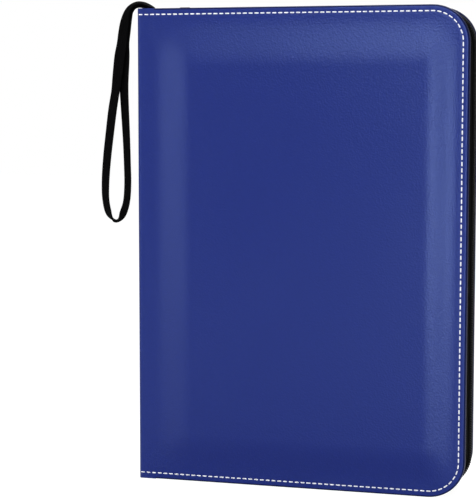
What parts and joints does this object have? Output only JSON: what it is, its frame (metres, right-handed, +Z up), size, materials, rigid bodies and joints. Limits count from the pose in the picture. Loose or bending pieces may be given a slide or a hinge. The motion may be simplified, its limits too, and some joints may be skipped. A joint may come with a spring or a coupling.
{
  "type": "trading card binder",
  "caption": "Zip-around padded card binder with a ring mechanism, clear nine-pocket pages and a wrist strap.",
  "frame": {"origin": "middle of the spine's bottom end, on the face that it stands on", "axes": "+Z up along the spine, +X across the covers from the spine to the zip, -Y towards the front cover"},
  "size_m": [0.2847, 0.056, 0.3572],
  "materials": {
    "cover_leather": "pebbled matte",
    "foam": "matte",
    "greyboard": "matte",
    "lining": "woven matte",
    "binding": "matte",
    "webbing": "woven matte",
    "zip_coil": "satin",
    "zip_metal": "satin",
    "steel": "satin",
    "chrome": "polished",
    "clear_film": "clear gloss"
  },
  "bodies": {
    "spine": {"spine_skin": "cover_leather", "spine_board": "greyboard", "spine_lining": "lining", "front_fold": "cover_leather", "back_fold": "cover_leather", "ring_plate": "steel", "ring_rivet_top": "steel", "ring_rivet_bottom": "steel", "strap_anchor": "webbing", "zip_end_tab_top": "webbing", "zip_end_tab_bottom": "webbing"},
    "front_cover": {"front_cover_skin": "cover_leather", "front_cover_foam": "foam", "front_cover_board": "greyboard", "front_cover_lining": "lining", "front_cover_binding": "binding", "front_gusset": "webbing", "front_zip_tape": "webbing", "front_zip_coil": "zip_coil", "front_zip_stop_top": "zip_metal", "front_zip_stop_bottom": "zip_metal"},
    "front_pages": {"front_page_1": "clear_film", "front_page_2": "clear_film", "front_page_3": "clear_film"},
    "front_rings": {"front_ring_blade": "steel", "front_half_ring_1": "chrome", "front_half_ring_2": "chrome", "front_half_ring_3": "chrome"},
    "back_cover": {"back_cover_skin": "cover_leather", "back_cover_foam": "foam", "back_cover_board": "greyboard", "back_cover_lining": "lining", "back_cover_binding": "binding", "back_gusset": "webbing", "back_zip_tape": "webbing", "back_zip_coil": "zip_coil", "back_zip_stop_top": "zip_metal", "back_zip_stop_bottom": "zip_metal"},
    "back_pages": {"back_page_1": "clear_film", "back_page_2": "clear_film", "back_page_3": "clear_film"},
    "back_rings": {"back_ring_blade": "steel", "back_half_ring_1": "chrome", "back_half_ring_2": "chrome", "back_half_ring_3": "chrome"},
    "lever_top": {"lever_top": "steel"},
    "lever_bottom": {"lever_bottom": "steel"},
    "zip_slider": {"zip_slider": "zip_metal"},
    "zip_pull_tab": {"zip_pull_tab": "zip_metal"},
    "strap": {"strap_loop": "webbing"}
  },
  "joints": [
    {"name": "front_cover_hinge", "type": "hinge", "parent": "spine", "child": "front_cover", "pos_m": [0, -0.0215, 0.175], "axis": [0, 0, -1], "range_deg": [0, 90]},
    {"name": "front_pages_turn", "type": "hinge", "parent": "spine", "child": "front_pages", "pos_m": [0.0195, 0, 0.175], "axis": [0, 0, -1], "range_deg": [0, 90]},
    {"name": "front_rings_open", "type": "hinge", "parent": "spine", "child": "front_rings", "pos_m": [0.0039, -0.009, 0.175], "axis": [0, 0, -1], "range_deg": [0, 8]},
    {"name": "back_cover_hinge", "type": "hinge", "parent": "spine", "child": "back_cover", "pos_m": [0, 0.0215, 0.175], "axis": [0, 0, 1], "range_deg": [0, 90]},
    {"name": "back_pages_turn", "type": "hinge", "parent": "spine", "child": "back_pages", "pos_m": [0.0195, 0, 0.175], "axis": [0, 0, 1], "range_deg": [0, 90]},
    {"name": "back_rings_open", "type": "hinge", "parent": "spine", "child": "back_rings", "pos_m": [0.0039, 0.009, 0.175], "axis": [0, 0, 1], "range_deg": [0, 8]},
    {"name": "lever_top_turn", "type": "hinge", "parent": "spine", "child": "lever_top", "pos_m": [0.005, 0, 0.3168], "axis": [0, -1, 0], "range_deg": [0, 40]},
    {"name": "lever_bottom_turn", "type": "hinge", "parent": "spine", "child": "lever_bottom", "pos_m": [0.005, 0, 0.0332], "axis": [0, 1, 0], "range_deg": [0, 40]},
    {"name": "zip_slide", "type": "slide", "parent": "back_cover", "child": "zip_slider", "axis": [1, 0, 0], "range_m": [0, 0.175]},
    {"name": "pull_tab_hinge", "type": "hinge", "parent": "zip_slider", "child": "zip_pull_tab", "pos_m": [0.027, 0, 0.34995], "axis": [0, -1, 0], "range_deg": [0, 150]},
    {"name": "strap_swing", "type": "hinge", "parent": "spine", "child": "strap", "pos_m": [-0.0004, 0, 0.3516], "axis": [0, 1, 0], "range_deg": [0, 80]}
  ],
  "couplings": [
    {"joint": "front_pages_turn", "follows": "front_cover_hinge", "ratio": 1},
    {"joint": "back_pages_turn", "follows": "back_cover_hinge", "ratio": 1},
    {"joint": "back_rings_open", "follows": "front_rings_open", "ratio": 1},
    {"joint": "lever_top_turn", "follows": "front_rings_open", "ratio": 5},
    {"joint": "lever_bottom_turn", "follows": "front_rings_open", "ratio": 5}
  ]
}
